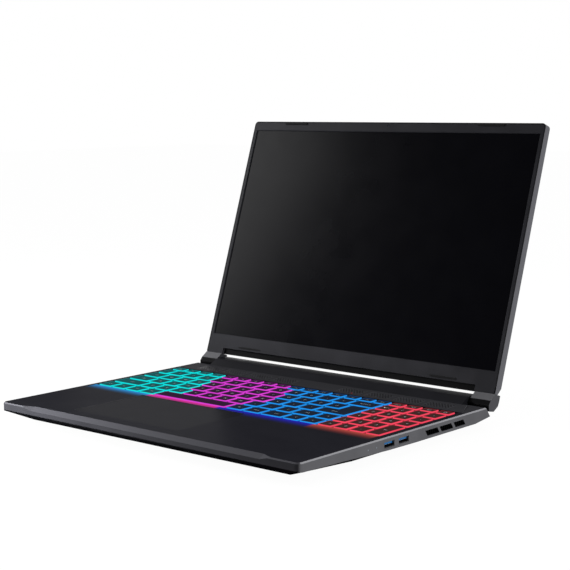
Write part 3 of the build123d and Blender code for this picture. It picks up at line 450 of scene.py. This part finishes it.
def newTree(name, inputs):
    tree = bpy.data.node_groups.new(name, "GeometryNodeTree")
    tree.interface.new_socket("Geometry", in_out="INPUT", socket_type="NodeSocketGeometry")
    for inputName, kind in inputs:
        tree.interface.new_socket(inputName, in_out="INPUT", socket_type=kind)
    tree.interface.new_socket("Geometry", in_out="OUTPUT", socket_type="NodeSocketGeometry")
    return tree, tree.nodes.new("NodeGroupInput"), tree.nodes.new("NodeGroupOutput")


def endTree(tree, source, entry, outlet):
    realize = tree.nodes.new("GeometryNodeRealizeInstances")
    paint = tree.nodes.new("GeometryNodeSetMaterial")
    link(tree, source, realize.inputs["Geometry"])
    link(tree, realize.outputs["Geometry"], paint.inputs["Geometry"])
    link(tree, entry.outputs["Material"], paint.inputs["Material"])
    link(tree, paint.outputs["Geometry"], outlet.inputs["Geometry"])


def runTree(tree, values, points=()):
    # evaluates a tree on a mesh of loose points and gives back a plain mesh
    mesh = bpy.data.meshes.new(tree.name + "Points")
    mesh.from_pydata([tuple(p) for p in points], [], [])
    holder = addObject(tree.name + "Holder", mesh)
    modifier = holder.modifiers.new("nodes", "NODES")
    modifier.node_group = tree
    for item in tree.interface.items_tree:
        if item.in_out == "INPUT" and item.name in values:
            modifier[item.identifier] = values[item.name]
    bpy.context.view_layer.update()
    graph = bpy.context.evaluated_depsgraph_get()
    result = bpy.data.meshes.new_from_object(holder.evaluated_get(graph))
    holder.modifiers.clear()
    bpy.data.objects.remove(holder)
    return result


def perforatedTree():
    # a plate with rows of round holes, every second row moved half a pitch
    tree, entry, outlet = newTree("perforatedPlate", [
        ("Width", "NodeSocketFloat"), ("Depth", "NodeSocketFloat"), ("Thickness", "NodeSocketFloat"),
        ("Hole Radius", "NodeSocketFloat"), ("Columns", "NodeSocketInt"), ("Rows", "NodeSocketInt"),
        ("Pitch X", "NodeSocketFloat"), ("Pitch Y", "NodeSocketFloat"), ("Material", "NodeSocketMaterial")])
    size = tree.nodes.new("ShaderNodeCombineXYZ")
    plate = tree.nodes.new("GeometryNodeMeshCube")
    for name, axis in (("Width", "X"), ("Depth", "Y"), ("Thickness", "Z")):
        link(tree, entry.outputs[name], size.inputs[axis])
    link(tree, size.outputs["Vector"], plate.inputs["Size"])
    join = tree.nodes.new("GeometryNodeJoinGeometry")
    for shift in (-0.25, 0.25):
        grid = tree.nodes.new("GeometryNodeMeshGrid")
        move = tree.nodes.new("GeometryNodeTransform")
        offset = tree.nodes.new("ShaderNodeCombineXYZ")
        for axis, count in (("X", "Columns"), ("Y", "Rows")):
            pitch = entry.outputs["Pitch " + axis]
            gaps = calc(tree, "SUBTRACT", entry.outputs[count], 1.0)
            link(tree, calc(tree, "MULTIPLY", pitch, gaps), grid.inputs["Size " + axis])
            link(tree, entry.outputs[count], grid.inputs["Vertices " + axis])
            link(tree, calc(tree, "MULTIPLY", pitch, shift), offset.inputs[axis])
        link(tree, offset.outputs["Vector"], move.inputs["Translation"])
        link(tree, grid.outputs["Mesh"], move.inputs["Geometry"])
        link(tree, move.outputs["Geometry"], join.inputs["Geometry"])
    drill = tree.nodes.new("GeometryNodeMeshCylinder")
    drill.inputs["Vertices"].default_value = 8
    drill.inputs["Depth"].default_value = 0.01
    link(tree, entry.outputs["Hole Radius"], drill.inputs["Radius"])
    place = tree.nodes.new("GeometryNodeInstanceOnPoints")
    link(tree, join.outputs["Geometry"], place.inputs["Points"])
    link(tree, drill.outputs["Mesh"], place.inputs["Instance"])
    solid = tree.nodes.new("GeometryNodeRealizeInstances")
    link(tree, place.outputs["Instances"], solid.inputs["Geometry"])
    cut = tree.nodes.new("GeometryNodeMeshBoolean")
    cut.operation = "DIFFERENCE"
    link(tree, plate.outputs["Mesh"], cut.inputs["Mesh 1"])
    link(tree, solid.outputs["Geometry"], cut.inputs["Mesh 2"])
    endTree(tree, cut.outputs["Mesh"], entry, outlet)
    return tree


def barRowTree():
    # equal bars side by side along X
    tree, entry, outlet = newTree("barRow", [
        ("Count", "NodeSocketInt"), ("Pitch", "NodeSocketFloat"), ("Bar Size", "NodeSocketVector"),
        ("Material", "NodeSocketMaterial")])
    line = tree.nodes.new("GeometryNodeMeshLine")
    step = tree.nodes.new("ShaderNodeCombineXYZ")
    link(tree, entry.outputs["Pitch"], step.inputs["X"])
    link(tree, entry.outputs["Count"], line.inputs["Count"])
    link(tree, step.outputs["Vector"], line.inputs["Offset"])
    bar = tree.nodes.new("GeometryNodeMeshCube")
    link(tree, entry.outputs["Bar Size"], bar.inputs["Size"])
    place = tree.nodes.new("GeometryNodeInstanceOnPoints")
    link(tree, line.outputs["Mesh"], place.inputs["Points"])
    link(tree, bar.outputs["Mesh"], place.inputs["Instance"])
    endTree(tree, place.outputs["Instances"], entry, outlet)
    return tree


def discTree():
    # short round studs on given points
    tree, entry, outlet = newTree("studs", [
        ("Radius", "NodeSocketFloat"), ("Height", "NodeSocketFloat"), ("Sides", "NodeSocketInt"),
        ("Material", "NodeSocketMaterial")])
    stud = tree.nodes.new("GeometryNodeMeshCylinder")
    link(tree, entry.outputs["Radius"], stud.inputs["Radius"])
    link(tree, entry.outputs["Height"], stud.inputs["Depth"])
    link(tree, entry.outputs["Sides"], stud.inputs["Vertices"])
    place = tree.nodes.new("GeometryNodeInstanceOnPoints")
    link(tree, entry.outputs["Geometry"], place.inputs["Points"])
    link(tree, stud.outputs["Mesh"], place.inputs["Instance"])
    endTree(tree, place.outputs["Instances"], entry, outlet)
    return tree


perforated = perforatedTree()
barRow = barRowTree()
studs = discTree()


def joinMeshes(name, meshes):
    work = bmesh.new()
    for mesh in meshes:
        work.from_mesh(mesh)
    joined = bpy.data.meshes.new(name)
    work.to_mesh(joined)
    work.free()
    for material in meshes[0].materials:
        joined.materials.append(material)
    return joined


def placed(mesh, matrix):
    copy = mesh.copy()
    copy.transform(matrix)
    return copy


keyLook = {"corner": 1.3 * mm, "bevelDrop": 0.12 * mm, "bevelIn": 0.25 * mm, "haloIn": 1.0 * mm,
           "dish": 0.1 * mm, "dishIn": 2.6 * mm, "enterShelf": 16.8 * mm, "enterNarrow": 19.0 * mm,
           "smallText": 0.62, "enterTextUp": 8.0 * mm, "legendSize": 4.6 * mm, "legendLift": 0.02 * mm,
           "redFrom": 102 * mm}
zoneEnds = {  # where each colour ends, from the left, in keys of the row
    "keys_function": [4, 9, 16], "keys_number_row": [4, 9, 13], "keys_upper_letters": [3, 8, 12],
    "keys_home_letters": [3, 8, 11], "keys_lower_letters": [3, 7, 10], "keys_modifiers": [4, 4, 7],
}
oneZone = {"key_backspace": "blue", "key_tab": "cyan", "key_caps_lock": "cyan", "key_enter": "blue",
           "key_shift_left": "cyan", "key_shift_right": "blue", "key_space": "magenta", "keys_numpad": "red",
           "key_numpad_enter": "red", "key_power": "red"}
legends = {
    "keys_function": ["Esc", "F1", "F2", "F3", "F4", "F5", "F6", "F7", "F8", "F9", "F10", "F11", "F12", "Prt", "Ins",
                      "Del"],
    "keys_number_row": list("`1234567890-="), "keys_upper_letters": list("QWERTYUIOP[]"),
    "keys_home_letters": list("ASDFGHJKL;'"), "keys_lower_letters": list("ZXCVBNM,./"),
    "keys_modifiers": ["Ctrl", "Fn", "Sys", "Alt", "Alt", "Menu", "Ctrl"], "key_backspace": ["Backspace"],
    "key_tab": ["Tab"], "key_caps_lock": ["Caps"], "key_enter": ["Enter"], "key_shift_left": ["Shift"],
    "key_shift_right": ["Shift"], "key_space": [""], "key_numpad_enter": ["Ent"], "key_power": ["O"],
    "keys_arrows": ["<", "v", ">", "^"],
    "keys_numpad": ["0", ".", "1", "2", "3", "4", "5", "6", "+", "7", "8", "9", "-", "Num", "/", "*", "-",
                    "Home", "PgU", "PgD"],
}


def zoneOf(nodeName, index, box):
    if nodeName in oneZone:
        return oneZone[nodeName]
    if nodeName == "keys_arrows":
        return "red" if box[0].x > keyLook["redFrom"] else "blue"
    ends = zoneEnds[nodeName]
    return "cyan" if index < ends[0] else "magenta" if index < ends[1] else "blue"


def cornerRadius(inset):
    return max(keyLook["corner"] - inset * 0.5, 0.3 * mm)


def capRings(box):
    # outline as a function of how far in it lies
    low, high = box

    def outline(inset):
        return roundedOutline(low.x + inset, high.x - inset, low.y + inset, high.y - inset, cornerRadius(inset))
    return outline


def enterRings(box, shelf, narrow):
    # the L-shaped key: full width below, narrow above, lined up on the right
    low, high = box

    def outline(inset):
        r = cornerRadius(inset)
        x0, x1, y0, y1 = low.x + inset, high.x - inset, low.y + inset, high.y - inset
        xm, ym = high.x - narrow + inset, shelf - inset
        points = []
        for cx, cy, start in ((x1 - r, y1 - r, 0), (xm + r, y1 - r, 90)):
            points += roundCorner(cx, cy, r, start)
        points.append((xm, ym))
        for cx, cy, start in ((x0 + r, ym - r, 90), (x0 + r, y0 + r, 180), (x1 - r, y0 + r, 270)):
            points += roundCorner(cx, cy, r, start)
        return points
    return outline


def addCap(work, outline, box, edgeSlot, dished=True):
    # painted backlight glow on the cap: brightly glowing sides and rim, a half-lit ring inside the rim, then the dark
    # dished top, which also glows
    low, high = box
    haloSlot, capSlot = edgeSlot + 1, edgeSlot + 2
    loops = [addLoop(work, outline(0), low.z), addLoop(work, outline(0), high.z - keyLook["bevelDrop"]),
             addLoop(work, outline(keyLook["bevelIn"]), high.z)]
    bridge(work, loops[0], loops[1], edgeSlot)
    bridge(work, loops[1], loops[2], edgeSlot)
    last = addLoop(work, outline(keyLook["haloIn"]), high.z - keyLook["dish"] * 0.4)
    bridge(work, loops[2], last, haloSlot)
    if dished:
        inner = addLoop(work, outline(keyLook["dishIn"]), high.z - keyLook["dish"])
        bridge(work, last, inner, capSlot)
        last = inner
    top = work.faces.new(last)
    top.material_index = capSlot
    bottom = work.faces.new(list(reversed(loops[0])))
    bottom.material_index = edgeSlot


def textMesh(words, size):
    curve = bpy.data.curves.new("legendText", "FONT")
    curve.body = words
    curve.size = size
    curve.align_x = "CENTER"
    curve.align_y = "CENTER"
    curve.resolution_u = 2
    holder = addObject("legendHolder", curve)
    bpy.context.view_layer.update()
    mesh = bpy.data.meshes.new_from_object(holder.evaluated_get(bpy.context.evaluated_depsgraph_get()))
    bpy.data.objects.remove(holder)
    return mesh


def makeKeys():
    keyNodes = sorted(n for n in nodes if n.startswith("key") and n != "keyboard_tray")
    for nodeName in keyNodes:
        boxes = islandBoxes(nodeName)
        slotNames = []
        for zoneName in zoneLook:
            slotNames += ["edge" + zoneName, "halo" + zoneName, "cap" + zoneName]
        slotNames.append("legend")
        work = bmesh.new()
        for index, box in enumerate(boxes):
            zoneIndex = list(zoneLook).index(zoneOf(nodeName, index, box))
            if nodeName == "key_enter":
                outline = enterRings(box, box[0].y + keyLook["enterShelf"], keyLook["enterNarrow"])
                addCap(work, outline, box, 3 * zoneIndex, dished=False)
            else:
                addCap(work, capRings(box), box, 3 * zoneIndex)
            words = legends[nodeName][index]
            if words:
                size = keyLook["legendSize"] * (keyLook["smallText"] if len(words) > 1 else 1.0)
                label = textMesh(words, size)
                low, high = box
                middle = (low + high) / 2
                middle.z = high.z - keyLook["dish"] + keyLook["legendLift"]
                if nodeName == "key_enter":
                    middle.y = low.y + keyLook["enterTextUp"]
                    middle.z = high.z + keyLook["legendLift"]
                label.transform(Matrix.Translation(middle))
                before = len(work.faces)
                work.from_mesh(label)
                work.faces.ensure_lookup_table()
                for face in work.faces[before:]:
                    face.material_index = len(slotNames) - 1
        mesh = bpy.data.meshes.new(nodeName + "Caps")
        bmesh.ops.recalc_face_normals(work, faces=[f for f in work.faces if f.material_index < len(slotNames) - 1])
        work.to_mesh(mesh)
        work.free()
        for slotName in slotNames:
            mesh.materials.append(finishes[slotName])
        newPiece(nodeName + "_caps", mesh, nodeName, [nodeName])
    print("keycaps made")


makeKeys()


ventLook = {"holeRadius": 0.95 * mm, "pitchX": 3.2 * mm, "pitchY": 4.2 * mm, "columns": 8, "rows": 3,
            "thickness": 0.12 * mm, "up": 0.3 * mm, "lining": 0.5 * mm, "liningUp": -0.04 * mm}


def makeDeckVents():
    boxes = islandBoxes("deck_vent_mesh")
    low, high = boxes[0]
    width, depth = high.x - low.x, high.y - low.y
    tilt = math.atan2((high.z - low.z) - 0.8 * mm, depth)
    plate = runTree(perforated, {
        "Width": width, "Depth": depth, "Thickness": ventLook["thickness"], "Hole Radius": ventLook["holeRadius"],
        "Columns": ventLook["columns"], "Rows": ventLook["rows"], "Pitch X": ventLook["pitchX"],
        "Pitch Y": ventLook["pitchY"], "Material": finishes["mesh"]})
    lining = runTree(barRow, {"Count": 1, "Pitch": width, "Bar Size": (width, depth, ventLook["lining"]),
                              "Material": finishes["grille"]})
    for name, mesh, up, stands in (("deck_vent_perforated", plate, ventLook["up"], ["deck_vent_mesh"]),
                                   ("deck_vent_lining", lining, ventLook["liningUp"], [])):
        copies = []
        for low, high in boxes:
            middle = (low + high) / 2 + Vector((0, 0, up))
            copies.append(placed(mesh, Matrix.Translation(middle) @ Matrix.Rotation(tilt, 4, "X")))
        newPiece(name, joinMeshes(name, copies), "base", stands)
    print("deck vents made:", len(boxes))


makeDeckVents()


contactLook = {"usbWidth": 1.1 * mm, "usbPitch": 2.3 * mm, "usbLength": 7.0 * mm, "thick": 0.15 * mm,
               "outward": 2 * mm}


def makeUsbContacts():
    # four contacts on the underside of each blue tongue
    row = runTree(barRow, {"Count": 4, "Pitch": contactLook["usbPitch"],
                           "Bar Size": (contactLook["usbWidth"], contactLook["usbLength"], contactLook["thick"]),
                           "Material": finishes["gold"]})
    row.transform(Matrix.Translation((-1.5 * contactLook["usbPitch"], 0, 0)))
    copies = []
    for low, high in islandBoxes("usb_a_tongues"):
        side = 1 if low.x > 0 else -1
        middle = (low + high) / 2
        middle.x += side * contactLook["outward"]
        middle.z = low.z - contactLook["thick"] / 2
        copies.append(placed(row, Matrix.Translation(middle) @ Matrix.Rotation(math.radians(90), 4, "Z")))
    newPiece("usb_contacts", joinMeshes("usbContacts", copies), "base")
    print("socket contacts made:", len(copies))


makeUsbContacts()


ledLook = {"radius": 0.7 * mm, "height": 0.1 * mm, "sides": 12, "numLockKey": 13, "numLockAt": (5 * mm, 8 * mm),
           "stripAt": (47 * mm, 232 * mm), "padDrop": 0.2 * mm, "stripUp": 0.22 * mm}
lensLook = {"radius": 1.0 * mm, "sides": 24, "rimDepth": 0.05 * mm}


def makeLight(name, finishName, spot, body):
    mesh = runTree(studs, {"Radius": ledLook["radius"], "Height": ledLook["height"], "Sides": ledLook["sides"],
                           "Material": finishes[finishName]}, [spot])
    newPiece(name, mesh, body)


def makeLeds():
    low, high = islandBoxes("keys_numpad")[ledLook["numLockKey"]]
    right, back = ledLook["numLockAt"]
    makeLight("num_lock_light", "ledWhite", (low.x + right, low.y + back, high.z), "keys_numpad")
    right, back = ledLook["stripAt"]
    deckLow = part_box("top_case")[0]
    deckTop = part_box("touchpad")[1][2] + ledLook["padDrop"]
    makeLight("strip_light", "ledRed", (right, deckLow[1] + back, deckTop + ledLook["stripUp"]), "base")
    print("small lights made")


makeLeds()


def makeLens():
    # small glass disc on the camera behind the bezel, tilted with the lid
    verts = [v.co for v in nodes["camera_module"].data.vertices]
    reach = max(v.dot(screenOut) for v in verts)
    rim = [v for v in verts if reach - v.dot(screenOut) < lensLook["rimDepth"]]
    centre = sum(rim, Vector()) / len(rim)
    disc = runTree(studs, {"Radius": lensLook["radius"], "Height": ledLook["height"], "Sides": lensLook["sides"],
                           "Material": finishes["lens"]}, [(0, 0, 0)])
    turn = Vector((0, 0, 1)).rotation_difference(screenOut).to_matrix().to_4x4()
    newPiece("camera_lens", placed(disc, Matrix.Translation(centre) @ turn), "lid")


makeLens()


studioLook = {"floorHalf": 6.0, "floorDrop": 0.2 * mm, "floorGlow": 0.96, "backdrop": (-0.6, 0.8, 0.0),
              "darkSide": 0.3}
lampLook = {  # place, what it faces, its two sides in metres, watts
    "rightLight": ((1.5, 0.15, 0.45), (0.18, 0.0, 0.05), (0.9, 0.7), 14),
    "topLight": ((0.1, -0.2, 1.8), (0, 0, 0.05), (1.4, 1.4), 3),
    "screenCard": ((-1.1, -0.48, 0.62), (-0.17, 0.1, 0.2), (0.5, 0.5), 9),
    "deckCard": ((-0.88, 0.69, 0.3), (0.0, -0.15, 0.02), (0.3, 0.2), 0.7),
    "frontLight": ((-0.2, -0.37, 0.02), (-0.15, -0.18, 0.01), (0.1, 0.04), 3),
}


def makeFloor():
    work = bmesh.new()
    half, drop = studioLook["floorHalf"], studioLook["floorDrop"]
    work.faces.new([work.verts.new((x * half, y * half, -drop)) for x, y in ((-1, -1), (1, -1), (1, 1), (-1, 1))])
    mesh = bpy.data.meshes.new("floor")
    work.to_mesh(mesh)
    work.free()
    material, tree, shader = newMaterial("floorWhite")
    shader.inputs["Base Color"].default_value = (0.05, 0.05, 0.05, 1)
    shader.inputs["Roughness"].default_value = 0.9
    shader.inputs["Specular IOR Level"].default_value = 0.0
    shader.inputs["Emission Color"].default_value = (1, 1, 1, 1)
    shader.inputs["Emission Strength"].default_value = studioLook["floorGlow"]
    mesh.materials.append(material)
    floor = addObject("floor", mesh)


def makeSky():
    # white behind the object, dimmer on the front and right
    world = bpy.data.worlds.new("studioSky")
    world.use_nodes = True
    tree = world.node_tree
    place = tree.nodes.new("ShaderNodeTexCoord")
    towards = tree.nodes.new("ShaderNodeVectorMath")
    towards.operation = "DOT_PRODUCT"
    towards.inputs[1].default_value = studioLook["backdrop"]
    link(tree, place.outputs["Generated"], towards.inputs[0])
    link(tree, ramp(tree, towards.outputs["Value"], -0.3, 0.35, studioLook["darkSide"], 1.0),
         tree.nodes["Background"].inputs["Strength"])
    tree.nodes["Background"].inputs["Color"].default_value = (1, 1, 1, 1)
    bpy.context.scene.world = world


def makeLamp(name, place, aim, size, power):
    light = bpy.data.lights.new(name, "AREA")
    light.shape = "RECTANGLE"
    light.size, light.size_y = size
    light.energy = power
    lamp = addObject(name, light)
    lamp.location = place
    lamp.visible_camera = False
    lamp.rotation_euler = (Vector(aim) - Vector(place)).to_track_quat("-Z", "Y").to_euler()


def makeStudio():
    makeFloor()
    makeSky()
    for name, lamp in lampLook.items():
        makeLamp(name, *lamp)
    bpy.context.scene.view_settings.view_transform = "Standard"
    print("studio made:", len(lampLook), "lamps")


makeStudio()


cameraLook = {"place": (0.8773, -0.9938, 0.2930), "azimuth": 41.103, "elevation": 7.306, "roll": -0.441,
              "lens": 91.42}


def makeCamera():
    camera = bpy.data.cameras.new("view")
    camera.lens = cameraLook["lens"]
    camera.sensor_width = 36.0
    camera.clip_end = 50.0
    holder = addObject("view", camera)
    a, e = math.radians(cameraLook["azimuth"]), math.radians(cameraLook["elevation"])
    r = math.radians(cameraLook["roll"])
    back = Vector((math.sin(a) * math.cos(e), -math.cos(a) * math.cos(e), math.sin(e)))
    right = Vector((0, 0, 1)).cross(back).normalized()
    up = back.cross(right)
    turnedRight = math.cos(r) * right + math.sin(r) * up
    turnedUp = -math.sin(r) * right + math.cos(r) * up
    turn = Matrix((turnedRight, turnedUp, back)).transposed()
    holder.matrix_world = Matrix.Translation(cameraLook["place"]) @ turn.to_4x4()
    bpy.context.scene.camera = holder


makeCamera()
print("scene made")
